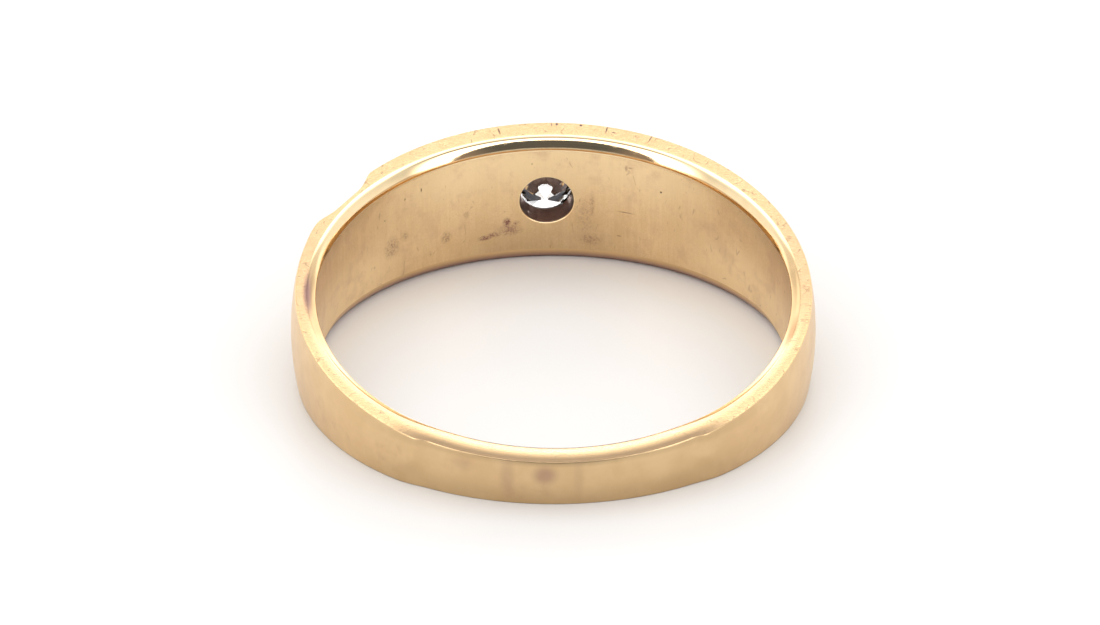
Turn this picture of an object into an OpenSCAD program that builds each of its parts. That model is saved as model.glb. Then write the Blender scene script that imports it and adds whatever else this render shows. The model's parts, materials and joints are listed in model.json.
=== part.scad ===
// Gold band with one flush-set round diamond, lying on its side.
// The wide front faces +Y and the narrow back of the shank faces -Y.
// The lower edge of the band lies flat on Z = 0.

/* [Finger bore] */
// Inside diameter of the finger bore
bore_d = 19; // [15:0.1:23]

/* [Band] */
// Width of the band across the front, at the bore
front_w = 5.9; // [5:0.1:7]
// Width of the band across the back, at the bore
back_w = 2.2; // [1.8:0.1:3]
// Metal under the crest at the front
front_t = 1.69; // [1.6:0.01:2]
// Metal under the crest at the sides
side_t = 1.03; // [0.9:0.01:1.2]
// Metal under the crest at the back, before the sizing piece is filed down
back_t = 1.24; // [1.1:0.01:1.4]
// Radius of the dome across the width
dome_r = 9.9; // [8:0.1:14]

/* [Eased inner edges] */
// How far the easing runs down the bore
ease_h = 0.43; // [0.3:0.01:0.5]
// How far the steep step of the easing goes into the metal
ease_steep = 0.24; // [0.1:0.01:0.3]
// How far the whole easing goes into the metal
ease_w = 0.37; // [0.3:0.01:0.45]
// Height of the upper, flatter step
ease_flat_h = 0.08; // [0.05:0.01:0.2]

/* [Shoulder scallops] */
// Angle of the scallop from the stone
scallop_at = 55; // [45:0.5:65]
// Depth of the scallop at the edge of the band
scallop_depth = 0.51; // [0.3:0.01:0.6]
// Length of the level floor of the scallop
scallop_floor = 1.35; // [0.5:0.05:2]
// Radius at each end of the scallop
scallop_end_r = 2.3; // [1.5:0.1:4]
// How steeply the scallop runs out towards the middle of the band
scallop_slope = 17; // [14:1:24]

/* [Sizing piece] */
// Half the angle of the thinner piece let into the back of the shank
sizing_half_angle = 29; // [20:1:35]
// Metal of the sizing piece
sizing_t = 0.96; // [0.8:0.01:1.05]
// Angle over which the shank steps down to the sizing piece
sizing_ramp = 5; // [3:1:8]

/* [Diamond] */
// Girdle diameter of the diamond
stone_d = 2.9; // [2.6:0.05:3]
// Width of the table as a share of the girdle
table_share = 0.53; // [0.5:0.01:0.62]
// Slope of the crown mains
crown_angle = 33.5; // [30:0.5:36]
// Slope of the pavilion mains
pavilion_angle = 42; // [40:0.1:42.5]
// Thickness of the girdle
girdle_t = 0.05; // [0.03:0.01:0.08]
// Length of the star facets as a share of the crown
star_share = 0.52; // [0.45:0.01:0.6]
// Length of the lower girdle facets as a share of the pavilion
lower_share = 0.74; // [0.7:0.01:0.85]
// Turn of the diamond in its seat
stone_turn = 25.5; // [0:0.5:45]
// How far the diamond and its seat sit beside the middle of the drilled hole
stone_shift = -0.06; // [-0.1:0.01:0.1]

/* [Stone seat] */
// Diameter of the hole through the inside of the band
hole_d = 2.23; // [2:0.01:2.4]
// Depth of the culet below the inside face of the band
culet_depth = 0.06; // [0:0.01:0.1]
// Clearance between the diamond and its seat
seat_gap = 0.03; // [0.02:0.005:0.05]
// How far the lip of metal closes over the girdle
lip_over = 0.15; // [0.03:0.01:0.2]
// Slope of the bright-cut wall above the lip
lip_flare = 20; // [5:1:35]

/* [Hidden] */
$fn = 144;

bore_r = bore_d / 2;
// Half the width at the axis, and how much it grows for each mm towards the front
mid_half_w = (front_w + back_w) / 4;
wedge = (front_w - back_w) / 4 / bore_r;
// The band lies on one face of its wedge, so its bore leans by half the wedge
lean = atan(wedge);

// The crest line of the dome is an oval about a centre a little in front of the bore
crest_front = bore_r + front_t;
crest_back = bore_r + back_t;
crest_r = (crest_front + crest_back) / 2;
crest_shift = (crest_front - crest_back) / 2;
crest_side = (bore_r + side_t) / crest_r;
clear = 3;

function half_w(y) = mid_half_w + wedge * y;

// The diamond is measured along its axis, outwards from the inside face of the band
stone_r = stone_d / 2;
pavilion_h = stone_r * tan(pavilion_angle);
girdle_low = culet_depth + pavilion_h;
girdle_high = girdle_low + girdle_t;
table_r = stone_r * table_share;
crown_h = (stone_r - table_r) * tan(crown_angle);
table_high = girdle_high + crown_h;
facet_step = 22.5;
star_r = table_r * cos(facet_step) + star_share * (stone_r - table_r * cos(facet_step));
lower_r = (1 - lower_share) * stone_r;

// The bounding box along Y, for an origin under its middle: the crest or a corner of the table
// is foremost, because the table stands a little proud of the crest
table_corner = max([for (i = [0:7]) table_r * sin(45 * i + stone_turn)]);
crest_reach = (crest_front - dome_r) * cos(lean) + dome_r;
table_reach = (bore_r + table_high) * cos(lean) + table_corner * sin(lean);
back_reach = (bore_r + sizing_t) * cos(lean) + half_w(-bore_r - sizing_t) * sin(lean);
y_mid = (max(crest_reach, table_reach) - back_reach) / 2;

// Lays the ring down from the frame of its bore: axis on Z, stone on +Y
module lay_down()
    translate([0, -y_mid, mid_half_w * cos(lean)]) rotate([lean, 0, 0]) children();

// Places a thing beside or on the axis of the hole, with Z running outwards from the bore
module on_hole_axis(shift = 0)
    translate([shift, 0, 0]) rotate([-90, 0, 0]) translate([0, 0, bore_r]) children();

// The domed outside, solid to the axis
module domed_blank()
    translate([0, crest_shift, 0]) scale([crest_side, 1, 1]) rotate_extrude()
        intersection() {
            translate([crest_r - dome_r, 0]) circle(r = dome_r);
            translate([0, -front_w]) square([crest_r + 1, 2 * front_w]);
        }

// Everything between the two edge faces, which close up towards the back
module between_edges() {
    front_y = crest_front + clear;
    back_y = -crest_back - clear;
    rotate([90, 0, 90]) linear_extrude(height = 4 * bore_r, center = true)
        polygon([
            [back_y, half_w(back_y)], [back_y, -half_w(back_y)],
            [front_y, -half_w(front_y)], [front_y, half_w(front_y)]
        ]);
}

// The metal that the two steps of easing take off the upper inner edge
module upper_easing() {
    // The edge of the bore is an ellipse in the sloping face, so the tool is a hair wider
    tool_r = bore_r / cos(lean);
    steep_run = (ease_h - ease_flat_h) / ease_steep;
    reach = 0.3;
    translate([0, 0, mid_half_w]) rotate([lean, 0, 0]) rotate_extrude()
        polygon([
            [tool_r - reach, -ease_h - reach * steep_run],
            [tool_r + ease_steep, -ease_flat_h],
            [tool_r + ease_w, 0],
            [tool_r + ease_w, 1],
            [tool_r - reach, 1]
        ]);
}

// A flute that starts at the upper edge of the shoulder and runs out at the crest
module scallop() {
    edge_r = bore_r + side_t + 0.05;
    floor_r = edge_r - scallop_depth;
    edge_z = half_w(floor_r * cos(scallop_at));
    rotate([0, 0, scallop_at]) translate([0, floor_r, edge_z]) rotate([scallop_slope, 0, 0])
        linear_extrude(height = 4 * mid_half_w, center = true) {
            for (side = [-1, 1])
                translate([side * scallop_floor / 2, scallop_end_r]) circle(r = scallop_end_r);
            translate([-scallop_floor / 2, 0]) square([scallop_floor, scallop_end_r]);
        }
}

// What is filed off the back of the shank where the sizing piece was let in
module sizing_relief() {
    function spoke(angle, r) = [r * sin(angle), -r * cos(angle)];
    far = crest_back + clear;
    inner = sizing_half_angle;
    outer = sizing_half_angle + sizing_ramp;
    linear_extrude(height = front_w, center = true)
        difference() {
            polygon([[0, 0], spoke(-outer, far), spoke(0, far), spoke(outer, far)]);
            circle(r = bore_r + sizing_t);
            for (side = [-1, 1])
                polygon([
                    [0, 0],
                    spoke(side * inner, bore_r + sizing_t),
                    spoke(side * outer, crest_back),
                    spoke(side * (outer + sizing_ramp), crest_back)
                ]);
        }
}

// The hole drilled from the bore, and about the stone a bearing, a pocket and a lip over the girdle
module stone_seat() {
    hole_r = hole_d / 2;
    pocket_r = stone_r + seat_gap;
    // The cone of the bearing starts inside the hole, so that it meets the hole all round
    foot_in = 0.15;
    foot_r = hole_r - foot_in;
    function bearing(r) = girdle_low - seat_gap - (stone_r - r) * tan(pavilion_angle);
    pocket_high = girdle_high + seat_gap;
    lip_r = stone_r - lip_over;
    lip_low = pocket_high + (pocket_r - lip_r) * tan(crown_angle);
    top = front_t + 1;
    on_hole_axis() translate([0, 0, -1]) cylinder(r = hole_r, h = 1 + girdle_low);
    on_hole_axis(stone_shift) rotate_extrude()
        polygon([
            [0, bearing(foot_r)], [foot_r, bearing(foot_r)],
            [pocket_r, bearing(pocket_r)],
            [pocket_r, pocket_high],
            [lip_r, lip_low],
            [lip_r + (top - lip_low) * tan(lip_flare), top],
            [0, top]
        ]);
}

// The one-piece band, from the wide front to the narrow back
module band()
    color("#E2B66C") lay_down() difference() {
        intersection() {
            domed_blank();
            between_edges();
        }
        cylinder(r = bore_r, h = 4 * front_w, center = true);
        upper_easing();
        mirror([0, 0, 1]) upper_easing();
        scallop();
        rotate([0, 180, 0]) scallop();
        sizing_relief();
        stone_seat();
    }

// A round brilliant of 57 facets, table outwards and culet towards the finger
module diamond() {
    function at(turn, r, z) = [r * cos(turn), r * sin(turn), z];
    function slope_up(r) = girdle_high + (stone_r - r * cos(facet_step)) * tan(crown_angle);
    function slope_down(r) = girdle_low - (stone_r - r * cos(facet_step)) * tan(pavilion_angle);
    mains = [0:7];
    girdle = [0:15];
    // Rings of corners: table, star tips, upper girdle, lower girdle, pavilion tips, culet
    corners = concat(
        [for (i = mains) at(45 * i, table_r, table_high)],
        [for (i = mains) at(45 * i + facet_step, star_r, slope_up(star_r))],
        [for (i = girdle) at(facet_step * i, stone_r, girdle_high)],
        [for (i = girdle) at(facet_step * i, stone_r, girdle_low)],
        [for (i = mains) at(45 * i + facet_step, lower_r, slope_down(lower_r))],
        [[0, 0, culet_depth]]
    );
    function table(i) = i % 8;
    function star(i) = 8 + (i + 8) % 8;
    function upper(i) = 16 + (i + 16) % 16;
    function under(i) = 32 + (i + 16) % 16;
    function lower(i) = 48 + (i + 8) % 8;
    culet = 56;
    facets = concat(
        [[for (i = mains) table(7 - i)]],
        [for (i = mains) [table(i), table(i + 1), star(i)]],
        [for (i = mains) [table(i), star(i), upper(2 * i), star(i - 1)]],
        [for (i = mains) [star(i), upper(2 * i + 1), upper(2 * i)]],
        [for (i = mains) [star(i), upper(2 * i + 2), upper(2 * i + 1)]],
        [for (i = girdle) [upper(i), upper(i + 1), under(i + 1), under(i)]],
        [for (i = mains) [lower(i), under(2 * i), under(2 * i + 1)]],
        [for (i = mains) [lower(i), under(2 * i + 1), under(2 * i + 2)]],
        [for (i = mains) [culet, lower(i - 1), under(2 * i), lower(i)]]
    );
    color("#EAF3F8") lay_down() on_hole_axis(stone_shift) rotate([0, 0, stone_turn])
        polyhedron(points = corners, faces = facets);
}

band();
diamond();
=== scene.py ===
"""Dresses a gold finger ring that lies on its side, with one round diamond set flush in its wide front.

The band is one surface worked out with numpy from a few sizes. Lengths inside the shape functions are in
millimetres, in the bore's own frame: Z along the bore, Y out through the stone, X to the right seen from
the narrow back. The finished mesh is laid down into the frame of the solids, in metres.
"""

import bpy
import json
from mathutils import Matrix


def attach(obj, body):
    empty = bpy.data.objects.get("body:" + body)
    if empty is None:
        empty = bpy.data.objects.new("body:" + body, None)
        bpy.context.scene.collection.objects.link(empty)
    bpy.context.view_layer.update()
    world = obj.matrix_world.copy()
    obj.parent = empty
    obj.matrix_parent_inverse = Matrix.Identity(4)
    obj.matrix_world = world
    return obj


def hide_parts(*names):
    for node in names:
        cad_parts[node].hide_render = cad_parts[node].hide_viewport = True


bl_info = {
    "name": "Flush-set solitaire ring",
    "version": (1, 0, 0),
    "blender": (4, 5, 0),
    "location": "3D View > Sidebar > Ring",
    "description": "Makes a worn gold band with a flush-set diamond, and a plain studio for it",
    "category": "Add Mesh",
}

import json
import math

import bpy
import numpy as np

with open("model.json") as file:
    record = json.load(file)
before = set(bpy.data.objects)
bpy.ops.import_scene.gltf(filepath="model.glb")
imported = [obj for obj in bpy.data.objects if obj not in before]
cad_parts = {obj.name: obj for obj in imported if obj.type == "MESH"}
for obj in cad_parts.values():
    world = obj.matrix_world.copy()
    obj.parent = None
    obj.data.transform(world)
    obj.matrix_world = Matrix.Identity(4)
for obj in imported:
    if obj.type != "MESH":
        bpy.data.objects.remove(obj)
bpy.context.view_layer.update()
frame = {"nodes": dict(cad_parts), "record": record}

MM = 0.001
BORE = next(mount for mount in frame["record"]["mounts"] if mount["name"] == "finger_bore")
BORE_CENTRE = np.array(BORE["pos_m"])
BORE_RADIUS = BORE["dims"]["r_mm"]
# The bore leans back from upright by this angle, because the tapered band lies on one edge face
LEAN = math.atan2(-BORE["axis"][1], BORE["axis"][2])


def length(name, mm, note):
    """A length that a user may change, given in millimetres and kept in metres."""
    return bpy.props.FloatProperty(
        name=name, description=note, default=mm * MM, precision=5, unit="LENGTH", subtype="DISTANCE"
    )


def angle(name, degrees, note):
    """An angle that a user may change, given in degrees and kept in radians."""
    return bpy.props.FloatProperty(
        name=name, description=note, default=math.radians(degrees), unit="ROTATION", subtype="ANGLE"
    )


def colour(name, rgb, note):
    """A colour that a user may change."""
    return bpy.props.FloatVectorProperty(
        name=name, description=note, default=rgb, size=3, min=0, max=1, subtype="COLOR"
    )


def share(name, value, note, most=1.0):
    """A plain number that a user may change."""
    return bpy.props.FloatProperty(
        name=name, description=note, default=value, min=0, max=most, subtype="FACTOR"
    )


class BandSizes(bpy.types.PropertyGroup):
    """Sizes of the gold band."""

    front_width: length("Front width", 5.9, "Width of the band across the front, at the bore")
    back_width: length("Back width", 2.2, "Width of the band across the back, at the bore")
    front_metal: length("Front metal", 1.69, "Metal under the crest at the front")
    side_metal: length("Side metal", 1.03, "Metal under the crest at the sides")
    back_metal: length("Back metal", 1.24, "Metal under the crest at the back")
    dome_radius: length("Dome radius", 9.9, "Radius of the dome across the width")
    ease_down: length("Easing down", 0.5, "How far the easing runs down the bore")
    ease_in: length("Easing in", 0.37, "How far the easing goes into the edge face")
    scallop_angle: angle("Scallop angle", 55, "Angle of each shoulder scallop from the stone")
    scallop_depth: length("Scallop depth", 0.51, "Depth of the scallop at the edge of the band")
    scallop_floor: length("Scallop floor", 1.35, "Length of the level floor of the scallop")
    scallop_end: length("Scallop end", 2.3, "Radius at each end of the scallop")
    scallop_slope: angle("Scallop slope", 17, "How steeply the scallop runs out towards the band's middle")
    sizing_angle: angle("Sizing angle", 29, "Half the angle of the thinner piece at the back")
    sizing_metal: length("Sizing metal", 0.96, "Metal of the sizing piece")
    hole_width: length("Hole width", 2.23, "Diameter of the hole behind the diamond")
    stone_width: length("Stone width", 2.9, "Girdle diameter of the diamond")
    stone_shift: length("Stone shift", -0.06, "How far the diamond and its seat sit beside the hole's axis")
    culet_depth: length("Culet depth", 0.06, "Depth of the culet below the inside face of the band")
    girdle_height: length("Girdle height", 0.05, "Thickness of the girdle")
    pavilion_angle: angle("Pavilion angle", 42, "Slope of the bearing under the girdle")
    crown_angle: angle("Crown angle", 33.5, "Slope of the lip over the girdle")
    seat_gap: length("Seat gap", 0.03, "Clearance between the diamond and its seat")
    lip_over: length("Lip over", 0.15, "How far the lip of metal closes over the girdle")
    lip_flare: angle("Lip flare", 20, "Slope of the bright-cut wall above the lip")


class FinishColours(bpy.types.PropertyGroup):
    """Colours of the metal, the stone and the studio."""

    worn_gold: colour("Worn gold", (0.71, 0.483, 0.25), "Dulled yellow gold")
    rubbed_gold: colour("Rubbed gold", (0.84, 0.612, 0.342), "Yellow gold that wear keeps bright")
    polished_gold: colour("Polished gold", (0.97, 0.75, 0.447), "Polished yellow gold")
    film: colour("Film", (0.50, 0.275, 0.19), "Reddish film of handling")
    # Brown gold, which also paints shade on the bore wall and on the outside at the back
    aged_gold_and_shade: colour("Aged gold", (0.36, 0.25, 0.14), "Browned gold that nothing rubs")
    rim_gold: colour("Rim gold", (0.22, 0.15, 0.09), "Dark brown gold along the outer edge")
    mirror_gold: colour("Mirror gold", (0.95, 0.75, 0.46), "Polished gold of the easing")
    dulled_gold: colour("Dulled gold", (0.58, 0.385, 0.19), "Gold of the easing where it is rubbed dull")
    foot_line: colour("Foot line", (0.58, 0.37, 0.18), "Worn line along the foot of the easing")
    # Painted reflection: a dark line beside the ridge of the easing, where a gap between the lights is
    # mirrored
    painted_ridge_reflection: colour("Ridge line", (0.12, 0.085, 0.055), "Worn line beside the ridge of the easing")
    # Painted shade: the dark brown of the seat between its bright rims
    painted_seat_shade: colour("Drilled gold", (0.29, 0.19, 0.15), "Browned gold of the drilled seat")
    tarnish: colour("Tarnish", (0.22, 0.085, 0.085), "Dark purple-brown tarnish")
    stone: colour("Stone", (1.0, 1.0, 1.0), "Body of the diamond")
    floor: colour("Floor", (0.54, 0.535, 0.535), "Pale floor")


class StudioSettings(bpy.types.PropertyGroup):
    """Camera and light."""

    camera_turn: angle("Camera turn", -1.6984, "How far the camera stands to the right of the back")
    camera_height: angle("Camera height", 28.8134, "How far the camera looks down")
    camera_distance: length("Camera distance", 227.905, "From the camera to the point it looks at")
    focal_length: bpy.props.FloatProperty(name="Focal length", description="In millimetres", default=186.134)
    tent: share("Tent", 1.1, "Brightness of the white tent", 4)
    panel: share("Panel", 1.4, "Extra brightness of the soft panel overhead", 8)
    backdrop: share("Backdrop", 0.9, "Extra brightness of the backdrop beyond the stone", 8)
    lamps: share("Lamps", 4.3, "Extra brightness of the lamps round the camera", 16)
    dark_side: share("Dark side", 0.81, "How dark the side is from which the camera looks")
    shade: share("Shade", 0.35, "How much the tent dims towards the camera's side")


def smooth_step(low, high, value):
    """0 below low, 1 above high, and an S-curve 3t^2 - 2t^3 between them."""
    t = np.clip((value - low) / (high - low), 0, 1)
    return t * t * (3 - 2 * t)


def smooth_least(a, b, blend):
    """The lesser of a and b, with the corner where they cross rounded over a difference of blend."""
    t = np.clip(0.5 + (b - a) / (2 * blend), 0, 1)
    return b + (a - b) * t - blend * t * (1 - t)


def mix(a, b, t):
    """a where t is 0, b where t is 1: a + (b - a) t."""
    return a + (b - a) * t


def radians(*angles):
    return tuple(math.radians(one) for one in angles)


def pair(r, z):
    """Radius and height side by side, one row for each angle."""
    return np.stack(np.broadcast_arrays(r, z), axis=-1)


def straight(start, end, parts):
    """Points from start to end: start + t (end - start), with t at the given parts of the way."""
    t = np.asarray(parts)[None, :, None]
    return start[:, None] + t * (end - start)[:, None]


def bend(start, corner, end, steps):
    """A bend whose end tangents meet at corner: (1-t)^2 start + 2t(1-t) corner + t^2 end."""
    t = np.linspace(0, 1, steps + 1)[None, :, None]
    return (1 - t) ** 2 * start[:, None] + 2 * t * (1 - t) * corner[:, None] + t * t * end[:, None]


def meet(point, way, other, other_way):
    """Where the line from point along way crosses the line from other along other_way.

    The run along way is the cross product of the gap and other_way, over that of way and other_way.
    """
    gap = other - point
    cross = way[..., 0] * other_way[..., 1] - way[..., 1] * other_way[..., 0]
    run = (gap[..., 0] * other_way[..., 1] - gap[..., 1] * other_way[..., 0]) / cross
    return point + run[..., None] * way


def crown(start, end, rise_in, rise_out, steps):
    """A bend from start to end that leaves and arrives at the given angles from upright, in radians."""
    out = pair(np.sin(rise_in), np.cos(rise_in))
    back = pair(np.sin(rise_out), np.cos(rise_out))
    return bend(start, meet(start, out, end, back), end, steps)


class BandShape:
    """The band as a surface over the angle round the bore and the way round its section."""

    COLUMNS = 720
    WALL_STEPS = 12
    OUTSIDE_STEPS = 15
    # Half the columns and half the rows of the squares left out at the stone
    BORE_SQUARE = (22, 9)
    OUTSIDE_SQUARE = (21, 10)
    # The easing's ridge, the foot of its flat bevel, and how far the bend at the foot runs each way
    RIDGE_IN, RIDGE_DOWN, BEVEL_DOWN, FOOT_BEND = 0.236, 0.077, 0.2, 0.04
    # The differences of radius over which corners on the outside are rounded
    SCALLOP_BLEND, SIZING_BLEND = 0.26, 0.10
    # How much more metal the band's edge has at the scallops than the crest has at the sides
    SHOULDER_MORE = 0.05
    ZONES = ("bore", "easing", "edge", "outside", "seat")

    def __init__(self, sizes):
        self.bore = BORE_RADIUS
        self.half_mid = (sizes.front_width + sizes.back_width) / 4 / MM
        self.wedge = (sizes.front_width - sizes.back_width) / 4 / MM / self.bore
        front = self.bore + sizes.front_metal / MM
        self.back = self.bore + sizes.back_metal / MM
        self.crest = (front + self.back) / 2
        self.shift = (front - self.back) / 2
        self.squeeze = (self.bore + sizes.side_metal / MM) / self.crest
        self.dome_radius = sizes.dome_radius / MM
        self.ease_down = sizes.ease_down / MM
        self.ease_in = sizes.ease_in / MM
        self.flute_angle = sizes.scallop_angle
        self.flute_r = self.bore + sizes.side_metal / MM + self.SHOULDER_MORE - sizes.scallop_depth / MM
        self.flute_half_floor = sizes.scallop_floor / MM / 2
        self.flute_end = sizes.scallop_end / MM
        self.flute_slope = sizes.scallop_slope
        self.sizing_angle = sizes.sizing_angle
        self.sizing = self.bore + sizes.sizing_metal / MM
        self.hole = sizes.hole_width / MM / 2
        self.stone = sizes.stone_width / MM / 2
        self.stone_x = sizes.stone_shift / MM
        self.pavilion = math.tan(sizes.pavilion_angle)
        self.crown_slope = math.tan(sizes.crown_angle)
        self.flare = math.tan(sizes.lip_flare)
        self.gap = sizes.seat_gap / MM
        self.girdle_low = sizes.culet_depth / MM + self.stone * self.pavilion
        self.girdle_high = self.girdle_low + sizes.girdle_height / MM
        self.lip = self.stone - sizes.lip_over / MM

    def edge_height(self, turn, r):
        """Height of the upper edge face: half the mid width + wedge r cos(turn)."""
        return self.half_mid + self.wedge * r * np.cos(turn)

    def oval_size(self, z):
        """Size of the outside's oval, which falls away from the crest: crest - R + sqrt(R^2 - z^2)."""
        return self.crest - self.dome_radius + np.sqrt(self.dome_radius**2 - z**2)

    def dome(self, turn, z):
        """Radius of the domed outside.

        It is the far root r of (r sin(turn) / squeeze)^2 + (r cos(turn) - shift)^2 = rho^2, with the
        oval's size for rho.
        """
        rho = self.oval_size(z)
        a = (np.sin(turn) / self.squeeze) ** 2 + np.cos(turn) ** 2
        b = self.shift * np.cos(turn)
        return (b + np.sqrt(b * b - a * (self.shift**2 - rho**2))) / a

    def scallop(self, turn, z, side):
        """Radius of the flute in the shoulder.

        Across the flute its floor is level, then rises on an arc: R - sqrt(R^2 - x^2). Along it the floor
        climbs outwards towards the middle of the band. The radius is found by putting x = r sin(turn from
        the flute) back in a few times.
        """
        widest, steps, reach = 0.9, 14, 0.999
        off = np.clip(side * turn + self.flute_angle, -widest, widest)
        start = self.half_mid + self.wedge * self.flute_r * math.cos(self.flute_angle)
        fall = (z - start) * math.sin(self.flute_slope)
        r = np.full(np.broadcast(turn, z).shape, self.flute_r)
        for _ in range(steps):
            x = np.clip(np.abs(r * np.sin(off)) - self.flute_half_floor, 0, self.flute_end * reach)
            rise = self.flute_end - np.sqrt(self.flute_end**2 - x * x)
            r = (self.flute_r + (rise - fall) / math.cos(self.flute_slope)) / np.cos(off)
        return r + self.bore * smooth_step(widest / 2, widest, np.abs(off))

    def sizing_limit(self, turn, z, side):
        """Radius left at the back: that of the sizing piece, climbing to the full shank.

        The climb is short on the upper half of the band and long on the lower half. Towards the sides the
        limit rises well clear of the dome.
        """
        clear = 0.12
        off = math.pi - np.abs(turn)
        climb = mix(*radians(7.5, 17), smooth_step(0.2, -0.8, side * z))
        step = (self.back - self.sizing + clear) * smooth_step(0, 1, (off - self.sizing_angle) / climb)
        return self.sizing + step + self.bore * smooth_step(*radians(60, 110), off)

    def swell(self, turn, z, side):
        """The worn shoulder beyond the upper scallop stands a little proud: a bell curve of the angle."""
        height = 0.035
        at, width = radians(68, 4)
        off = (turn + at) / width
        return height * np.exp(-off * off) * smooth_step(0.3, 1.6, z) * (side > 0)

    def outside(self, turn, z, side):
        """Radius of the outside: the least of dome, scallop and sizing limit, with their corners rounded."""
        r = self.dome(turn, z) + self.swell(turn, z, side)
        r = smooth_least(r, self.scallop(turn, z, side), self.SCALLOP_BLEND)
        return smooth_least(r, self.sizing_limit(turn, z, side), self.SIZING_BLEND)

    def half_section(self, turn, side):
        """The section from the middle of the bore, over one edge face, to the middle of the outside.

        It is a chain of straight runs and bends. Gives the points, the zone of each run between two
        points, and how far each point lies beyond the foot of the easing.
        """
        wall_r = np.full_like(turn, self.bore)

        # The easing is a flat bevel from the sides to the back, and half as large on the sizing piece
        flat = smooth_step(*radians(64, 86), np.abs(turn))
        size = 1 - 0.5 * smooth_step(*radians(138, 156), np.abs(turn))
        foot_down = size * mix(self.ease_down, self.BEVEL_DOWN, flat)
        foot = pair(wall_r, self.edge_height(turn, wall_r) - foot_down)
        ridge_r = wall_r + self.RIDGE_IN * size
        ridge = pair(ridge_r, self.edge_height(turn, ridge_r) - self.RIDGE_DOWN * size)
        shelf_r = wall_r + self.ease_in * size
        shelf = pair(shelf_r, self.edge_height(turn, shelf_r))
        # The share of the ridge's angle from upright, seen from the foot, at which it leaves the wall
        lean = mix(0.48, 0.95, flat)
        rise = lean * np.arctan2(ridge[:, 0] - foot[:, 0], ridge[:, 1] - foot[:, 1])
        before_foot = foot + np.array([0.0, -self.FOOT_BEND])
        past_foot = foot + self.FOOT_BEND * pair(np.sin(rise), np.cos(rise))

        # The outer corner, found by stepping to it a few times
        first_guess, steps = 1.0, 8
        corner_r = wall_r + first_guess
        for _ in range(steps):
            corner_r = self.outside(turn, self.edge_height(turn, corner_r), side)
        corner = pair(corner_r, self.edge_height(turn, corner_r))
        face_way = pair(np.ones_like(turn), self.wedge * np.cos(turn))

        # Only the upper edge of the sizing piece is worn: there the bend at the corner is larger
        worn_short, worn_past = 0.10, 0.09
        off = math.pi - np.abs(turn)
        worn = 1 - smooth_step(self.sizing_angle - worn_short, self.sizing_angle + worn_past, off)
        worn = worn * (side > 0)
        face_cut = mix(0.06, 0.12, worn)
        wall_cut = mix(0.06, 0.10, worn)
        corner_cut = mix(0.014, 0.026, worn)
        face_end = corner - face_way * face_cut[:, None]
        wall_end_z = corner[:, 1] - wall_cut
        wall_end = pair(self.outside(turn, wall_end_z, side), wall_end_z)
        middle = corner - pair(corner_cut, corner_cut)
        # The tangent at the middle of the outer bend
        fall = mix(*radians(45, 47), worn)
        way = pair(np.cos(fall), -np.sin(fall))

        upright = pair(np.zeros_like(turn), np.ones_like(turn))
        first_corner = meet(face_end, face_way, middle, way)
        second_corner = meet(middle, way, wall_end, upright)

        ridge_from = mix(*radians(42, 66), flat)
        ridge_to = mix(*radians(46, 54), flat)
        wall_parts = np.linspace(0, 1, self.WALL_STEPS + 1)
        parts = [
            ("bore", straight(pair(wall_r, 0 * turn), before_foot, wall_parts)),
            ("easing", bend(before_foot, foot, past_foot, 3)),
            ("easing", crown(past_foot, ridge, 0.93 * rise, ridge_from, 7)),
            ("easing", crown(ridge, shelf, ridge_to, math.radians(72), 4)),
            ("edge", straight(shelf, face_end, [0, 0.12, 0.5, 0.88, 1])),
            ("edge", bend(face_end, first_corner, middle, 4)),
            ("outside", bend(middle, second_corner, wall_end, 4)),
        ]
        t = np.linspace(0, 1, self.OUTSIDE_STEPS + 1)[None, :]
        z = wall_end_z[:, None] * (1 - t)
        parts.append(("outside", pair(self.outside(turn[:, None], z, side), z)))

        points = [parts[0][1][:, :1]]
        zones = []
        for zone, run in parts:
            points.append(run[:, 1:])
            zones += [self.ZONES.index(zone)] * (run.shape[1] - 1)
        points = np.concatenate(points, axis=1)
        lengths = np.linalg.norm(np.diff(points, axis=1), axis=-1)
        way_round = np.concatenate([np.zeros((len(turn), 1)), np.cumsum(lengths, axis=1)], axis=1)
        foot_at = way_round[:, self.WALL_STEPS : self.WALL_STEPS + 1]
        return points, np.array(zones), way_round - foot_at

    def place(self, r, turn, z):
        """A point at radius r, turned from the stone towards +X, at height z."""
        return np.stack(np.broadcast_arrays(r * np.sin(turn), r * np.cos(turn), z), axis=-1)

    def build(self):
        """The whole surface: vertices, four-sided faces, the zone of each face and the way beyond the easing.

        The section is carried round the bore. A square of faces is left out on the bore and on the outside
        at the stone, and rings of points run from one square's border, through the stone's seat, to the
        other's.
        """
        turn = np.arange(self.COLUMNS) * (2 * math.pi / self.COLUMNS)
        turn = np.where(turn > math.pi, turn - 2 * math.pi, turn)
        upper, zones, upper_way = self.half_section(turn, 1)
        lower, _, lower_way = self.half_section(turn, -1)
        lower[..., 1] *= -1
        half = upper.shape[1]
        section = np.concatenate([upper, lower[:, -2:0:-1]], axis=1)
        way = np.concatenate([upper_way, lower_way[:, -2:0:-1]], axis=1)
        rows = section.shape[1]
        grid = self.place(section[..., 0], turn[:, None], section[..., 1]).reshape(-1, 3)
        row_zone = np.concatenate([zones, zones[::-1]])

        column, row = np.meshgrid(np.arange(self.COLUMNS), np.arange(rows), indexing="ij")

        def index(c, k):
            return (c % self.COLUMNS) * rows + k % rows

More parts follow.
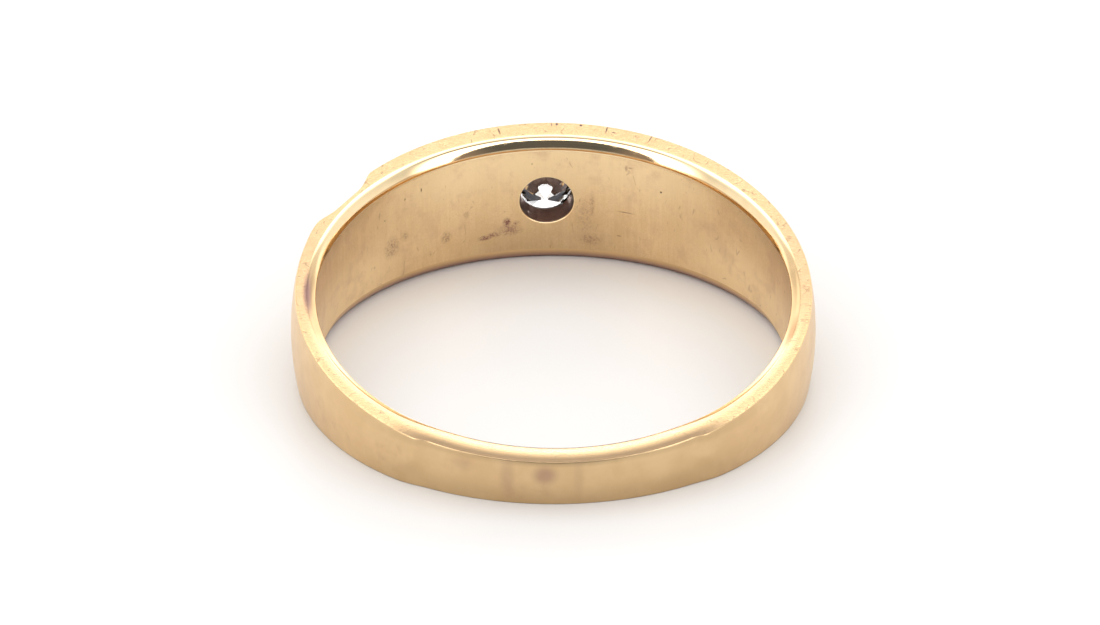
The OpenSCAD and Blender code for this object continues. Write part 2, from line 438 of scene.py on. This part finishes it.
        corners = ((0, 0), (1, 0), (1, 1), (0, 1))
        quads = np.stack([index(column + c, row + k) for c, k in corners], -1)
        bore_columns, bore_rows = self.BORE_SQUARE
        outside_columns, outside_rows = self.OUTSIDE_SQUARE
        middle = half - 1
        near_column = np.minimum(column, self.COLUMNS - 1 - column)
        bore_row = np.minimum(row, rows - 1 - row)
        outside_row = np.where(row >= middle, row - middle, middle - 1 - row)
        bore_cut = (near_column < bore_columns) & (bore_row < bore_rows)
        outside_cut = (near_column < outside_columns) & (outside_row < outside_rows)
        keep = ~(bore_cut | outside_cut).reshape(-1)
        quads = quads.reshape(-1, 4)[keep]
        zone = row_zone[row].reshape(-1)[keep]

        def border(half_columns, row_list):
            """The border of a square of the grid, once round from its low left corner."""
            c = np.arange(-half_columns, half_columns + 1)
            k = np.asarray(row_list)
            along, up = np.ones(len(c) - 1, dtype=int), np.ones(len(k) - 1, dtype=int)
            around_c = np.concatenate([c[:-1], c[-1] * up, c[:0:-1], c[0] * up])
            around_k = np.concatenate([k[0] * along, k[:-1], k[-1] * along, k[:0:-1]])
            return index(around_c, around_k)

        bore_border = border(bore_columns, range(-bore_rows, bore_rows + 1))
        outside_list = range(middle + outside_rows, middle - outside_rows - 1, -1)
        outside_border = border(outside_columns, outside_list)
        rings, ring_zone = self.seat_rings(grid[bore_border], grid[outside_border])
        count = len(bore_border)
        ring_index = len(grid) + np.arange(len(rings) * count).reshape(len(rings), count)
        ring_index = np.concatenate([bore_border[None], ring_index, outside_border[None]])
        step = np.roll(ring_index, -1, axis=1)
        ring_quads = np.stack([ring_index[:-1], step[:-1], step[1:], ring_index[1:]], -1)

        points = np.concatenate([grid, rings.reshape(-1, 3)])
        quads = np.concatenate([quads, ring_quads.reshape(-1, 4)])
        zone = np.concatenate([zone, np.repeat(ring_zone, count)])
        way = np.concatenate([way.reshape(-1), np.full(rings.shape[0] * count, -1.0)])
        used, quads = np.unique(quads, return_inverse=True)
        return points[used], quads.reshape(-1, 4), zone, way[used]

    def seat_rings(self, bore_border, outside_border):
        """Rings of points from the bore, through the seat, to the outside.

        Each ring has one point for each point of the borders, on a straight line from the border to the
        hole in the bore and on the outside, and on a circle about the axis of the hole or of the stone in
        between. The profile of the seat runs outwards along that axis, from the inside face.
        """
        bore_rim, lip_rim, ring_count, crowding = 0.05, 0.012, 8, 1.6
        pocket = self.stone + self.gap
        pocket_high = self.girdle_high + self.gap
        lip_low = pocket_high + (pocket - self.lip) * self.crown_slope

        def bearing(r):
            return self.girdle_low - self.gap - (self.stone - r) * self.pavilion

        def on_bore(x, z):
            return np.sqrt(self.bore**2 - x * x)

        def on_outside(x, z):
            return self.shift + np.sqrt(self.oval_size(z) ** 2 - (x / self.squeeze) ** 2)

        def border_rings(border, centre, radius, surface):
            x, z = border[:, 0], border[:, 2]
            around = np.arctan2(z, x - centre)
            out = []
            for t in 1 - (1 - np.linspace(0, 1, ring_count + 1)[1:]) ** crowding:
                rx = mix(x, centre + radius * np.cos(around), t)
                rz = mix(z, radius * np.sin(around), t)
                out.append(np.stack([rx, surface(rx, rz), rz], -1))
            return out, around

        def ring(centre, r, around, height):
            x, z = centre + r * np.cos(around), r * np.sin(around)
            return np.stack([x, self.bore + height + 0 * x, z], -1)

        rings, around = border_rings(bore_border, 0, self.hole + bore_rim, on_bore)
        zones = [self.ZONES.index("bore")] * ring_count

        # The worn rim where the hole meets the bore is a quarter of a circle
        quarter = np.linspace(0, math.pi / 2, 6)
        for a in quarter[1:]:
            r = self.hole + bore_rim * (1 - math.sin(a))
            level = on_bore(r * np.cos(around), 0) - self.bore
            rings.append(ring(0, r, around, level + bore_rim * (1 - math.cos(a))))

        # The hole ends where it cuts into the cone of the bearing, which stands about the stone
        cut = bearing(np.hypot(self.hole * np.cos(around) - self.stone_x, self.hole * np.sin(around)))
        low_ring, high_ring, near_cut = 0.3, 0.6, 0.02
        for height in (low_ring, high_ring, cut - near_cut, cut):
            rings.append(ring(0, self.hole, around, height))

        top = self.lip_top(lip_low, on_outside)
        out_rings, out_around = border_rings(outside_border, self.stone_x, top + lip_rim, on_outside)
        for r, height in ((pocket, bearing(pocket)), (pocket, pocket_high), (self.lip, lip_low)):
            rings.append(ring(self.stone_x, r, out_around, height))

        # The bright-cut wall and its rounded rim follow the outside
        for a in quarter:
            r = top + lip_rim * (1 - math.cos(a))
            level = on_outside(self.stone_x + r * np.cos(out_around), r * np.sin(out_around)) - self.bore
            rings.append(ring(self.stone_x, r, out_around, level - lip_rim * (1 - math.sin(a))))
        zones += [self.ZONES.index("seat")] * (len(rings) - ring_count)
        rings += out_rings[-2::-1]
        zones += [self.ZONES.index("outside")] * ring_count
        return np.array(rings), np.array(zones)

    def lip_top(self, lip_low, surface):
        """Radius where the flared wall over the lip reaches the outside, by stepping to it a few times."""
        top = self.lip
        for _ in range(6):
            height = float(surface(np.array(top), np.array(0.0))) - self.bore
            top = self.lip + (height - lip_low) * self.flare
        return top


def lay_down(points):
    """From the bore's frame in millimetres to the solids' frame in metres: turned about X by the lean."""
    c, s = math.cos(LEAN), math.sin(LEAN)
    x, y, z = points.T
    return np.stack([x, y * c - z * s, y * s + z * c], -1) * MM + BORE_CENTRE


class Value:
    """A number in a material. An expression on it adds Math nodes."""

    def __init__(self, recipe, socket):
        self.recipe = recipe
        self.socket = socket

    def maths(self, operation, *terms):
        return self.recipe.node("ShaderNodeMath", dict(enumerate(terms)), operation=operation)

    def __add__(self, other):
        return self.maths("ADD", self, other)

    def __sub__(self, other):
        return self.maths("SUBTRACT", self, other)

    def __rsub__(self, other):
        return self.maths("SUBTRACT", other, self)

    def __mul__(self, other):
        return self.maths("MULTIPLY", self, other)

    def __truediv__(self, other):
        return self.maths("DIVIDE", self, other)

    def __rtruediv__(self, other):
        return self.maths("DIVIDE", other, self)

    def __pow__(self, other):
        return self.maths("POWER", self, other)

    def __neg__(self):
        return 0 - self

    __radd__ = __add__
    __rmul__ = __mul__

    def absolute(self):
        return self.maths("ABSOLUTE", self)

    def arctan2(self, other):
        """The angle in radians whose tangent is this over other."""
        return self.maths("ARCTAN2", self, other)

    def least(self, other):
        return self.maths("MINIMUM", self, other)

    def most(self, other):
        return self.maths("MAXIMUM", self, other)

    def rise(self, low, high):
        """0 below low, 1 above high, smooth between."""
        return self.recipe.node(
            "ShaderNodeMapRange",
            {"Value": self, "From Min": low, "From Max": high},
            interpolation_type="SMOOTHSTEP",
        )


class Recipe:
    """Adds nodes to the node tree of a material or of the world."""

    def __init__(self, tree):
        self.tree = tree
        tree.nodes.clear()

    def node(self, kind, inputs=None, out=0, **settings):
        """Adds a node: its settings first, then the values and links of its sockets."""
        new = self.tree.nodes.new(kind)
        for name, value in settings.items():
            setattr(new, name, value)
        for key, value in (inputs or {}).items():
            if isinstance(value, Value):
                self.tree.links.new(value.socket, new.inputs[key])
            else:
                new.inputs[key].default_value = value
        if isinstance(out, tuple):
            return tuple(Value(self, new.outputs[one]) for one in out)
        return Value(self, new.outputs[out]) if new.outputs else None

    def blend(self, amount, a, b):
        """Colour a where amount is 0, colour b where it is 1."""
        a, b = (v if isinstance(v, Value) else (*v[:3], 1) for v in (a, b))
        return self.node("ShaderNodeMix", {0: amount, 6: a, 7: b}, out=2, data_type="RGBA")

    def surface(self, inputs):
        """Ends a material with a Principled BSDF that has the given inputs."""
        self.node("ShaderNodeOutputMaterial", {0: self.node("ShaderNodeBsdfPrincipled", inputs)})

    def vector(self, x, y, z):
        return self.node("ShaderNodeCombineXYZ", {0: x, 1: y, 2: z})

    def noise(self, place, scale, detail=3.0, roughness=0.55):
        """Cloudy noise about 0.5."""
        return self.node(
            "ShaderNodeTexNoise",
            {"Vector": place, "Scale": scale, "Detail": detail, "Roughness": roughness},
        )

    def way(self):
        """How far each place lies beyond the foot of the easing, in millimetres: below 0 on the wall."""
        return self.node("ShaderNodeAttribute", out="Fac", attribute_name="way", attribute_type="GEOMETRY")

    def bore_place(self):
        """The place on the piece in the bore's frame, in millimetres: as a vector and as three numbers."""
        about_x = -LEAN
        c, s = math.cos(about_x), math.sin(about_x)
        x, y, z = BORE_CENTRE / MM
        place = self.node(
            "ShaderNodeMapping",
            {
                "Vector": self.node("ShaderNodeTexCoord", out="Object"),
                "Location": (-x, -(y * c - z * s), -(y * s + z * c)),
                "Rotation": (about_x, 0, 0),
                "Scale": (1 / MM, 1 / MM, 1 / MM),
            },
            vector_type="POINT",
        )
        return place, *self.node("ShaderNodeSeparateXYZ", {0: place}, out=(0, 1, 2))


# Marks on the metal: kind, degrees round the bore, place across, half length round, half width, strength.
# Across is the height on the bore and the outside, and the radius on the easing and the edge face. The
# degrees are counted from the stone, and on the outside from the back.
MARKS = (
    ("smudge", -15.7, -1.61, 0.3, 0.12, 0.9),
    ("smudge", -13.2, -1.52, 0.34, 0.14, 0.55),
    ("smudge", -10.0, -1.0, 0.17, 0.24, 0.95),
    ("smudge", -9.3, -1.38, 0.55, 0.3, 0.45),
    ("smudge", -7.6, -1.05, 0.16, 0.12, 0.55),
    ("smudge", 11.0, -1.85, 0.55, 0.3, 0.3),
    ("smudge", 11.4, -0.15, 0.12, 0.65, 0.32),
    ("smudge", 9.6, -0.75, 0.45, 0.9, 0.2),
    ("smudge", -42.7, -0.6, 0.42, 0.52, 0.42),
    ("smudge", -38.4, -0.35, 0.2, 0.25, 0.3),
    ("smudge", -26.2, -1.15, 0.26, 0.28, 0.4),
    ("smudge", -20.5, -0.29, 0.14, 0.2, 0.3),
    ("pit", -33.2, 1.6, 0.03, 0.085, 0.75),
    ("pit", -38.2, 1.46, 0.045, 0.05, 0.45),
    ("pit", -45.0, 0.91, 0.035, 0.04, 0.5),
    ("pit", -3.7, 1.81, 0.035, 0.06, 0.35),
    ("pit", 29.5, 1.11, 0.048, 0.048, 1.0),
    ("hair", 20.2, -0.3, 0.4, 0.028, 1.8),
    ("hair", 18.4, -1.51, 0.11, 0.035, 1.6),
    ("hair", 20.1, 1.88, 0.07, 0.16, 1.5),
    ("hair", 21.1, 1.93, 0.1, 0.04, 1.5),
    ("nick", -10.9, 10.35, 0.04, 0.24, 0.85),
    ("nick", 2.4, 10.57, 0.055, 0.1, 1.0),
    ("nick", 1.2, 10.55, 0.03, 0.14, 0.7),
    ("nick", 7.8, 10.56, 0.055, 0.09, 1.0),
    ("nick", 13.8, 10.46, 0.034, 0.24, 0.9),
    ("nick", 15.6, 10.33, 0.11, 0.045, 0.9),
    ("nick", 24.2, 10.42, 0.034, 0.26, 0.8),
    # Painted reflections on the edge face: a dark one on the left shoulder and an orange one on the right
    ("painted_dark_reflection", -90.5, 9.83, 1.4, 0.18, 0.9),
    ("painted_orange_reflection", 107.0, 9.79, 0.95, 0.17, 0.9),
    ("stain", -3.5, 0.36, 0.46, 0.46, 0.62),
    ("stain", -11.6, 0.2, 0.28, 1.0, 0.3),
    ("stain", -21.5, 0.5, 0.45, 0.4, 0.2),
    ("stain", 3.6, 0.2, 0.2, 1.0, 0.18),
)
MARK_COLOURS = {
    "pit": (0.04, 0.018, 0.012),
    "nick": (0.10, 0.055, 0.05),
    "painted_dark_reflection": (0.22, 0.12, 0.115),
    "painted_orange_reflection": (0.48, 0.27, 0.125),
    "stain": (0.36, 0.21, 0.16),
}


def round_bore(x, y):
    """How far round the bore a place lies from where y points, in millimetres."""
    return x.arctan2(y) * BORE_RADIUS


def spot(s, across, mark):
    """A mark's strength at its middle, falling smoothly to 0 a little beyond its half sizes."""
    _, degrees, middle, half_round, half_width, strength = mark
    full_to, gone_at = 0.25, 1.35
    at = math.radians(degrees) * BORE_RADIUS
    away = (((s - at) / half_round) ** 2 + ((across - middle) / half_width) ** 2) ** 0.5
    return (1 - away.rise(full_to, gone_at)) * strength


def all_marks(s, across, kind):
    """The strongest of the marks of one kind at each place."""
    spots = [spot(s, across, mark) for mark in MARKS if mark[0] == kind]
    most = spots[0]
    for one in spots[1:]:
        most = most.most(one)
    return most


def hairs(recipe, place, scale, width, kept):
    """Fine curved scratches: the lines where cloudy noise crosses its middle, kept only here and there."""
    away = (recipe.noise(place, scale, 1.0, 0.4) - 0.5).absolute()
    here = recipe.noise(place, scale * 0.9 + 0.7, 2.0).rise(1 - kept, 1.06 - kept)
    return (1 - away.rise(0, width)) * here


def metal(recipe, base, roughness, height, depth):
    """A metal surface with relief, whose depth is in metres."""
    relief = recipe.node("ShaderNodeBump", {"Height": height, "Distance": depth, "Strength": 1.0})
    recipe.surface({"Base Color": base, "Metallic": 1.0, "Roughness": roughness, "Normal": relief})


def bore_gold(recipe, colours):
    """Satin gold inside the band: fine scratches along the bore, cloudy film, smudges, hairs and pits.

    A painted sheen makes it paler towards the upper edge at the front and low down at the sides; painted
    shade darkens it below the stone and under the easing.
    """
    place, x, y, z = recipe.bore_place()
    s = round_bore(x, y)
    way = recipe.way()
    cloud = recipe.noise(place, 0.42, 4.0, 0.6).rise(0.34, 0.66)
    patch = recipe.noise(place, 1.5, 5.0, 0.65)
    strokes = recipe.noise(recipe.vector(x * 10, y * 10, z * 0.4), 1.0, 5.0, 0.7)
    bands = recipe.noise(recipe.vector(x * 2.6, y * 2.6, z * 0.3), 1.0, 2.0)
    brushing = recipe.noise(place, 0.35, 2.0).rise(0.40, 0.62)
    grain = recipe.noise(place, 15, 4.0, 0.7)
    speck = recipe.noise(place, 11, 3.0, 0.7)
    scratch = hairs(recipe, recipe.vector(x * 1.3, y * 1.3, z * 0.5), 1.5, 0.025, 0.40)
    scratch = scratch.most(all_marks(s, z, "hair"))
    pits = all_marks(s, z, "pit")
    smudges = all_marks(s, z, "smudge") * (0.4 + speck.rise(0.42, 0.60))
    smudges = smudges * (0.7 + 0.5 * strokes.rise(0.35, 0.65))

    shade = cloud * 0.45 + patch.rise(0.3, 0.7) * 0.25 + (strokes - 0.5) * (0.7 + 0.8 * brushing)
    shade = shade + (bands - 0.5) * 0.6 + (grain - 0.5) * 1.8
    base = recipe.blend(shade.least(1.0).most(0.0), colours.worn_gold, colours.rubbed_gold)
    aside = (s * s).rise(14, 80)
    # Painted sheen: the wall is blended towards polished gold towards the upper edge at the front and low
    # down at the sides
    rubbed = z.rise(-0.8, 2.2) * (1 - aside) + aside * (1 - z.rise(-1.4, 1.0))
    base = recipe.blend(rubbed * 0.75, base, colours.polished_gold)
    # Painted shade: the wall below the stone darkens towards the table
    under_stone = (1 - (s * s).rise(2, 22)) * z.rise(0.0, -2.2)
    base = recipe.blend(under_stone * 0.24, base, colours.aged_gold_and_shade)
    film = patch.rise(0.46, 0.72) * 0.20 + recipe.noise(place, 0.8, 3.0).rise(0.50, 0.72) * 0.22
    base = recipe.blend(film, base, colours.film)
    # Painted shade: the wall just under the upper easing is darkened, in a band that is wider and darker at
    # the sides
    beside = (s * s).rise(30, 110)
    under = (way / (0.10 + 0.9 * beside)).rise(-1.0, -0.1)
    base = recipe.blend(under * (0.10 + 0.10 * beside) * z.rise(-0.3, 0.1), base, colours.aged_gold_and_shade)
    flecks = speck.rise(0.62, 0.74) * patch.rise(0.42, 0.6) * 0.30
    base = recipe.blend((smudges * 0.95 + flecks + scratch * 0.30).least(0.9), base, colours.tarnish)
    base = recipe.blend(pits, base, MARK_COLOURS["pit"])
    height = strokes * 0.6 + grain * 0.5 - pits * 4.0 - scratch * 0.8
    metal(recipe, base, 0.30 + 0.10 * patch + 0.15 * smudges, height, 9e-6)


def edge_marks(recipe, base, x, y):
    """Lays the painted dark reflection, the painted orange reflection and the nicks of the edge face over its
    colour.

    Gives the new colour, and how deep the nicks are.
    """
    s, r = round_bore(x, y), (x * x + y * y) ** 0.5
    for kind in ("painted_dark_reflection", "painted_orange_reflection", "nick"):
        marks = all_marks(s, r, kind)
        base = recipe.blend(marks, base, MARK_COLOURS[kind])
    return base, marks


def easing_gold(recipe, colours):
    """Polished gold on the eased inner edge, with a worn line along its foot and a painted reflection line
    beside its ridge.

    It is rubbed dull beside the middle of the ring. The easing of the lower edge is dull all round, because
    it lies against the table, and painted shade darkens it towards the table.
    """
    place, x, y, z = recipe.bore_place()
    rub = recipe.noise(place, 2.2, 4.0, 0.6)
    way = recipe.way()

    def line(at, core, edge):
        """1 within core of a place on the way up the easing, 0 beyond edge of it."""
        return 1 - (way - at).absolute().rise(core, edge)

    base = recipe.blend(rub.rise(0.3, 0.7) * 0.35, colours.mirror_gold, colours.rubbed_gold)
    # The lines fade out towards the sides, where the one at the foot is broader and reaches the wall
    off_front = y.rise(9.5, 7.6)
    # Painted reflection: the dark line beside the ridge
    base = recipe.blend(line(0.575, 0.012, 0.042) * y.rise(7.4, 9.3) * 0.8, base, colours.painted_ridge_reflection)
    foot_line = line(0.095 + 0.045 * off_front, 0.03 + 0.03 * off_front, 0.055 + 0.065 * off_front)
    at_wall = (1 - way.rise(0.0, 0.06)) * off_front
    base = recipe.blend((foot_line * y.rise(1.0, 6.0)).most(at_wall), base, colours.foot_line)
    beside = y.rise(-4.5, -2.0) * y.rise(4.5, 0.5)
    base = recipe.blend(beside * 0.85, base, colours.dulled_gold)
    # Dull worn gold on the lower easing, with painted shade darkening it to the film colour towards the table
    low = z.rise(0.2, -0.2)
    base = recipe.blend(low, base, recipe.blend(way.rise(0.0, 0.5), colours.worn_gold, colours.film))
    base, _ = edge_marks(recipe, base, x, y)
    drag = recipe.noise(recipe.vector(x * 0.8, y * 0.8, way * 60), 1.0, 3.0, 0.6)
    dull = 0.25 * low + 0.10 * y.rise(4.0, -1.0)
    metal(recipe, base, 0.07 + 0.08 * rub.rise(0.4, 0.8) + dull, drag, 6e-7)


def edge_gold(recipe, colours):
    """Rubbed gold on the edge faces: crossing scratches, small nicks and darker flecks.

    A reddish film lies on it, most of all at the sides, and its outer rim is browned at the back.
    """
    place, x, y, z = recipe.bore_place()
    one_way = recipe.noise(recipe.vector(x * 3 + y * 14, x * 1.2 - y * 0.8, z), 1.0, 4.0, 0.7)
    other_way = recipe.noise(recipe.vector(x * 15 - y * 6, y * 1.1 + x * 0.6, z), 1.0, 4.0, 0.7)
    cloud = recipe.noise(place, 1.1, 4.0, 0.6).rise(0.35, 0.68)
    flecks = recipe.noise(place, 7.5, 3.0, 0.7).rise(0.64, 0.78)
    scratch = hairs(recipe, place, 1.9, 0.05, 0.50)
    fine = hairs(recipe, recipe.vector(x * 0.9 - y * 2.2, y * 3 + x, z), 2.2, 0.10, 0.55)
    base = recipe.blend(cloud * 0.25 + (one_way - other_way) * 0.7, colours.worn_gold, colours.rubbed_gold)
    beside = y.rise(-3.5, 0.0) * y.rise(6.0, 2.5)
    base = recipe.blend((0.09 + 0.22 * beside + flecks * 0.35).least(0.9), base, colours.film)
    base = recipe.blend((scratch * 0.6 + fine * 0.3).least(0.9), base, colours.aged_gold_and_shade)
    r = (x * x + y * y) ** 0.5
    base = recipe.blend((1 - r.rise(9.75, 10.2)) * y.rise(-1.0, -4.0), base, colours.polished_gold)
    rim = r.rise(9.85, 10.25) * y.rise(-7.8, -9.2)
    base = recipe.blend(rim * 0.9, base, colours.aged_gold_and_shade)
    base = recipe.blend(rim * r.rise(10.1, 10.34) * 0.8, base, colours.rim_gold)
    # The painted dark and orange reflections and the nicks go over the edge face last
    base, nicks = edge_marks(recipe, base, x, y)
    height = one_way * 0.5 + other_way * 0.5 - flecks * 0.8 - scratch * 1.5 - fine * 1.2 - nicks * 3.0
    metal(recipe, base, 0.18 + 0.10 * one_way + 0.15 * rim, height, 5e-6)


def outside_gold(recipe, colours):
    """Worn gold outside: a soft polish with faint rubbed streaks round the band and brown stains.

    At the back it is browner, also towards the upper edge, and painted shade darkens it towards the lower
    edge, which lies on the table. Darker stains lie on it.
    """
    place, x, y, z = recipe.bore_place()
    s = round_bore(x, -y)
    streaks = recipe.noise(recipe.vector(x * 0.35, y * 0.35, z * 6), 1.0, 4.0, 0.65)
    dents = recipe.noise(place, 1.1, 2.0, 0.5)
    cloud = recipe.noise(place, 0.55, 4.0, 0.6).rise(0.35, 0.68)
    stain = recipe.noise(place, 0.8, 4.0, 0.6).rise(0.56, 0.80)
    at_back = y.rise(-6.0, -10.0)
    base = recipe.blend(cloud * 0.5 + 0.2, colours.worn_gold, colours.rubbed_gold)
    base = recipe.blend(stain * 0.35, base, colours.film)
    # Browner at the back, with painted shade darkening it further towards the lower edge
    base = recipe.blend(at_back * (0.20 + 0.25 * z.rise(0.2, -0.9)), base, colours.aged_gold_and_shade)
    upper_rim = z.rise(0.70, 0.98) * (0.2 * at_back + 0.2 * y.rise(-10.15, -10.45))
    base = recipe.blend(upper_rim, base, colours.rim_gold)
    base = recipe.blend(all_marks(s, z, "stain"), base, MARK_COLOURS["stain"])
    metal(recipe, base, 0.26 + 0.10 * streaks, streaks * 0.10 + dents * 1.2, 8e-6)


def seat_gold(recipe, colours):
    """Drilled gold in the seat: a bright rim at the bore and at the lip, and between them gold painted dark
    brown as the shade of the recess.
    """
    _, x, y, z = recipe.bore_place()
    out = (x * x + z * z) ** 0.5
    turned = recipe.noise(recipe.vector(x * 2, y * 40, z * 2), 1.0, 3.0, 0.6)
    # The hole is 1.115 in radius, and the girdle stands at y 10.9
    inner_rim = out.rise(1.117, 1.127) * y.rise(9.7, 9.6)
    bright = inner_rim.most(y.rise(10.7, 10.9))
    # Painted shade: the seat is dark brown between the bright rims
    base = recipe.blend(bright, colours.painted_seat_shade, colours.polished_gold)
    metal(recipe, base, 0.22 + 0.15 * turned, turned, 4e-6)


FINISHES = {
    "bore": bore_gold,
    "easing": easing_gold,
    "edge": edge_gold,
    "outside": outside_gold,
    "seat": seat_gold,
}


def new_material(name):
    material = bpy.data.materials.new(name)
    material.use_nodes = True
    return material, Recipe(material.node_tree)


def new_object(context, name, data):
    thing = bpy.data.objects.new(name, data)
    context.scene.collection.objects.link(thing)
    return thing


class RING_OT_band(bpy.types.Operator):
    """Makes the worn gold band in place of its plain solid"""

    bl_idname = "ring.band"
    bl_label = "Gold band"
    bl_options = {"REGISTER", "UNDO"}

    def execute(self, context):
        shape = BandShape(context.scene.ring_band)
        points, quads, zone, way = shape.build()
        mesh = bpy.data.meshes.new("gold_band")
        mesh.from_pydata(lay_down(points).tolist(), [], quads.tolist())
        if mesh.validate():
            raise RuntimeError("the band's surface has faces that aren't valid")
        for name in shape.ZONES:
            material, recipe = new_material("gold_" + name)
            FINISHES[name](recipe, context.scene.ring_colours)
            mesh.materials.append(material)
        mesh.polygons.foreach_set("material_index", zone.astype(np.int32))
        mesh.polygons.foreach_set("use_smooth", np.ones(len(quads), dtype=bool))
        mesh.attributes.new("way", "FLOAT", "POINT").data.foreach_set("value", way.astype(np.float32))
        mesh.update()
        band = new_object(context, "gold_band", mesh)
        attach(band, "root")
        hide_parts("band")
        return {"FINISHED"}


class RING_OT_diamond(bpy.types.Operator):
    """Gives the faceted diamond its clear, strongly refracting body"""

    bl_idname = "ring.diamond"
    bl_label = "Diamond"
    bl_options = {"REGISTER", "UNDO"}

    def execute(self, context):
        stone = frame["nodes"]["diamond"]
        material, recipe = new_material("cut_diamond")
        body = (*context.scene.ring_colours.stone, 1)
        recipe.surface({"Base Color": body, "Roughness": 0.0, "IOR": 2.417, "Transmission Weight": 1.0})
        stone.material_slots[0].material = material
        return {"FINISHED"}


class RING_OT_studio(bpy.types.Operator):
    """Sets up the pale floor, the soft tent of light and the camera"""

    bl_idname = "ring.studio"
    bl_label = "Studio"
    bl_options = {"REGISTER", "UNDO"}

    # The point that the camera looks at, in millimetres from the middle of the bore
    AIM = (-0.14056919, 0.00203679, 0.79780692)

    def execute(self, context):
        settings = context.scene.ring_studio
        self.lay_floor(context)
        self.hang_tent(context, settings)
        self.stand_camera(context, settings)
        context.scene.view_settings.view_transform = "Standard"
        return {"FINISHED"}

    def lay_floor(self, context):
        reach = 3.0
        corners = [(x * reach, y * reach, 0) for x, y in ((-1, -1), (1, -1), (1, 1), (-1, 1))]
        mesh = bpy.data.meshes.new("studio_floor")
        mesh.from_pydata(corners, [], [(0, 1, 2, 3)])
        material, recipe = new_material("pale_floor")
        pale = (*context.scene.ring_colours.floor, 1)
        recipe.surface({"Base Color": pale, "Roughness": 0.35, "Specular IOR Level": 0.25})
        mesh.materials.append(material)
        floor = new_object(context, "studio_floor", mesh)

    def hang_tent(self, context, settings):
        """A white tent: a soft panel overhead, a bright backdrop, and lamps in an arch round the camera.

        roll is the angle in degrees over the ring: 0 at the horizon beyond the stone, 90 overhead and 180
        at the horizon behind the camera. aside is the distance of a direction from that arch. ring_out is
        1 on the edge of the dark oval that the camera stands in, and grows away from it. The oval is
        bluish, with browner and less dark ends. The tent dims towards the camera, but not far aside.
        """
        world = bpy.data.worlds.new("tent")
        world.use_nodes = True
        context.scene.world = world
        recipe = Recipe(world.node_tree)
        direction = recipe.node("ShaderNodeTexCoord", out="Generated")
        x, y, z = recipe.node("ShaderNodeSeparateXYZ", {0: direction}, out=(0, 1, 2))
        roll = z.arctan2(y) * math.degrees(1)
        aside = x.absolute()
        behind = y.rise(0.05, -0.05)
        oval_aside, oval_width, oval_height, oval_power = 0.02, 0.716, 0.656, 2.6
        across = ((x + oval_aside) / oval_width).absolute() ** oval_power
        ring_out = (across + (z / oval_height) ** 2) ** 0.5
        outer = ring_out.rise(0.985, 1.01)
        panel = roll.rise(51.2, 52.9) * (1 - roll.rise(95, 110)) * (1 - aside.rise(0.60, 0.85))
        backdrop = (1 - roll.rise(35, 42)) * (1 - aside.rise(0.70, 0.95)) * (1 - behind)
        lamps = outer * (1 - ring_out.rise(1.14, 1.40)) * behind
        dark = (1 - outer) * behind * z.rise(-0.01, 0.0)
        cloth = recipe.noise(recipe.vector(x * 2, 0.0, z * 6), 1.0, 3.0, 0.6)
        end = aside.rise(0.35, 0.62)
        dark = dark * (settings.dark_side + (cloth - 0.5) * 0.14 - 0.22 * end)
        dimmed = settings.shade * y.rise(0.3, -0.6) * (1 - aside.rise(0.80, 1.0))
        strength = settings.tent * (1 - dimmed) + settings.panel * panel + settings.backdrop * backdrop
        strength = (strength + settings.lamps * lamps) * (1 - dark)
        white, bluish, brownish = (1.0, 0.995, 0.985), (0.84, 0.88, 1.0), (1.0, 0.70, 0.60)
        tint = recipe.blend(dark, white, recipe.blend(end, bluish, brownish))
        light = recipe.node("ShaderNodeBackground", {"Color": tint, "Strength": strength})
        recipe.node("ShaderNodeOutputWorld", {0: light})

    def stand_camera(self, context, settings):
        """The camera stands back from its aim along the direction given by its turn and height."""
        aim = BORE_CENTRE + np.array(self.AIM) * MM
        a, e = settings.camera_turn, settings.camera_height
        back = np.array([math.sin(a) * math.cos(e), -math.cos(a) * math.cos(e), math.sin(e)])
        data = bpy.data.cameras.new("camera")
        data.lens = settings.focal_length
        data.sensor_width = 36
        data.clip_start = 0.01
        data.clip_end = 20
        camera = new_object(context, "camera", data)
        camera.location = aim + back * settings.camera_distance
        camera.rotation_euler = (math.pi / 2 - e, 0, a)
        context.scene.camera = camera


class RING_PT_panel(bpy.types.Panel):
    """Lists the steps that make the ring"""

    bl_idname = "RING_PT_panel"
    bl_label = "Solitaire ring"
    bl_space_type = "VIEW_3D"
    bl_region_type = "UI"
    bl_category = "Ring"

    def draw(self, context):
        layout = self.layout
        for group in (getattr(context.scene, one) for one in GROUPS):
            for name in group.__annotations__:
                layout.prop(group, name)
        for step in STEPS:
            layout.operator(step.bl_idname)


GROUPS = {"ring_band": BandSizes, "ring_colours": FinishColours, "ring_studio": StudioSettings}
STEPS = (RING_OT_band, RING_OT_diamond, RING_OT_studio)


def register():
    for one in (*GROUPS.values(), *STEPS, RING_PT_panel):
        bpy.utils.register_class(one)
    for name, group in GROUPS.items():
        setattr(bpy.types.Scene, name, bpy.props.PointerProperty(type=group))


def unregister():
    for name in GROUPS:
        delattr(bpy.types.Scene, name)
    for one in (RING_PT_panel, *reversed(STEPS), *reversed(GROUPS.values())):
        bpy.utils.unregister_class(one)


def main():
    register()
    bpy.ops.ring.band()
    bpy.ops.ring.diamond()
    bpy.ops.ring.studio()


if __name__ == "__main__":
    main()
